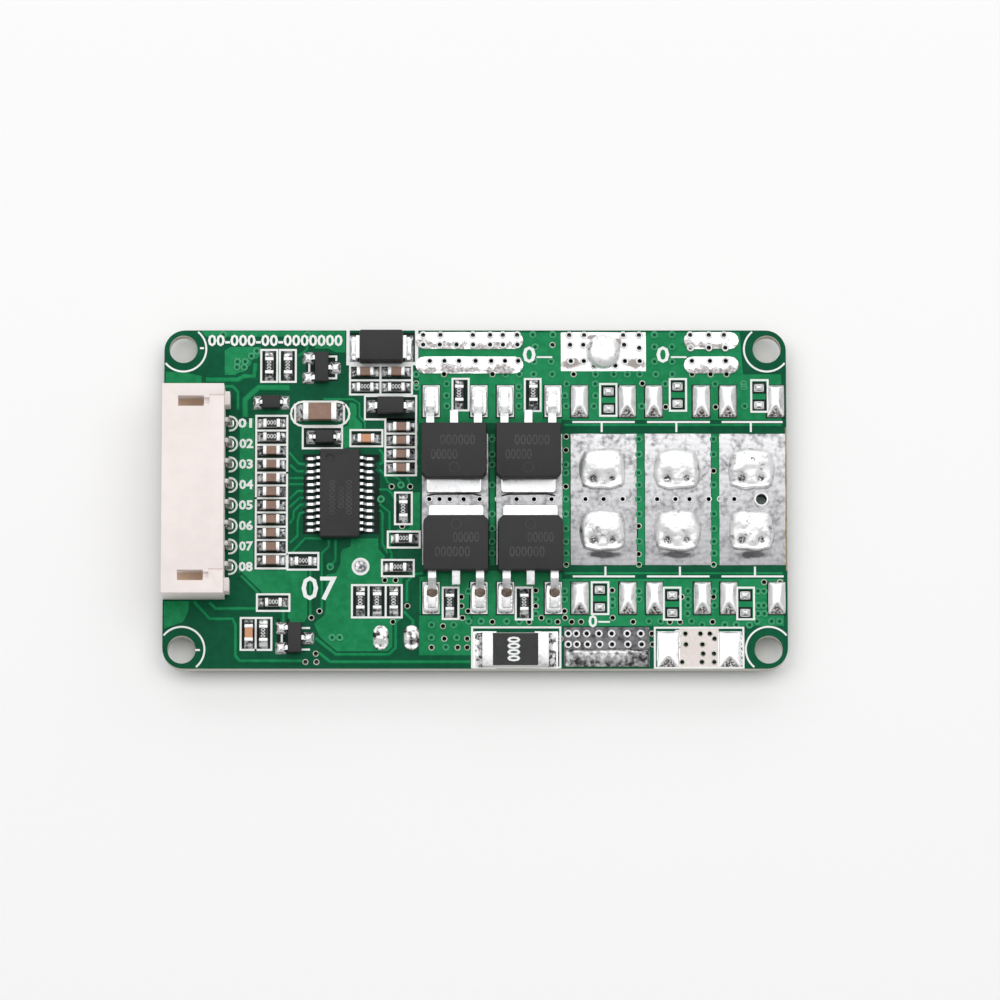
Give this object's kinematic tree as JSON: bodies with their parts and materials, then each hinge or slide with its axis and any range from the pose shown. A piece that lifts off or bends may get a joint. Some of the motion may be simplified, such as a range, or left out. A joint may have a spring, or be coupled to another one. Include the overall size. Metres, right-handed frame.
{
  "type": "battery management board",
  "caption": "Flat green circuit board with a side-entry plug connector, a monitor chip, flat power transistors on tinned lands, empty lands with solder heaps and corner mounting holes.",
  "frame": {"origin": "middle of the four mounting holes, on the underside of the board", "axes": "+X from the plug connector towards the empty transistor places, along the board's length; +Y across the board, towards the edge that the surge diode stands at; +Z out of the component side"},
  "size_m": [0.06, 0.033, 0.0071],
  "materials": {
    "board_laminate": "green solder mask over woven glass laminate",
    "tinned_copper": "hot-air levelled tin",
    "solder": "smooth reflowed solder",
    "connector_plastic": "moulded, slightly waxy",
    "pin_metal": "tin plated",
    "mould_compound": "fine matt moulding compound",
    "lead_metal": "tin plated",
    "capacitor_ceramic": "fired ceramic",
    "end_cap_metal": "tin plated",
    "white_ceramic": "fired alumina",
    "resistor_glaze": "glassy overcoat"
  },
  "bodies": {
    "root": {"chip_resistor_bodies": "white_ceramic", "chip_resistor_coatings": "resistor_glaze", "chip_resistor_end_caps": "end_cap_metal", "circuit_board": "board_laminate", "connector_housing": "connector_plastic", "connector_pins": "pin_metal", "connector_solder": "solder", "current_shunt_body": "white_ceramic", "current_shunt_coating": "resistor_glaze", "current_shunt_end_caps": "end_cap_metal", "drain_lands": "tinned_copper", "empty_chip_lands": "tinned_copper", "filter_capacitor_bodies": "capacitor_ceramic", "filter_capacitor_end_caps": "end_cap_metal", "gate_resistor_bodies": "white_ceramic", "gate_resistor_coatings": "resistor_glaze", "gate_resistor_end_caps": "end_cap_metal", "monitor_chip_body": "mould_compound", "monitor_chip_leads": "lead_metal", "power_lands": "tinned_copper", "power_transistor_1_body": "mould_compound", "power_transistor_1_drain_tab": "lead_metal", "power_transistor_1_leads": "lead_metal", "power_transistor_2_body": "mould_compound", "power_transistor_2_drain_tab": "lead_metal", "power_transistor_2_leads": "lead_metal", "power_transistor_3_body": "mould_compound", "power_transistor_3_drain_tab": "lead_metal", "power_transistor_3_leads": "lead_metal", "power_transistor_4_body": "mould_compound", "power_transistor_4_drain_tab": "lead_metal", "power_transistor_4_leads": "lead_metal", "rectifier_diode_body": "mould_compound", "rectifier_diode_leads": "lead_metal", "service_capacitor_bodies": "capacitor_ceramic", "service_capacitor_end_caps": "end_cap_metal", "small_diode_bodies": "mould_compound", "small_diode_leads": "lead_metal", "small_transistor_1_body": "mould_compound", "small_transistor_1_leads": "lead_metal", "small_transistor_2_body": "mould_compound", "small_transistor_2_leads": "lead_metal", "solder_mounds": "solder", "solder_strips": "tinned_copper", "source_gate_lands": "tinned_copper", "supply_capacitor_body": "capacitor_ceramic", "supply_capacitor_end_caps": "end_cap_metal", "surge_diode_body": "mould_compound", "surge_diode_leads": "lead_metal", "wire_joints": "solder"}
  },
  "joints": []
}
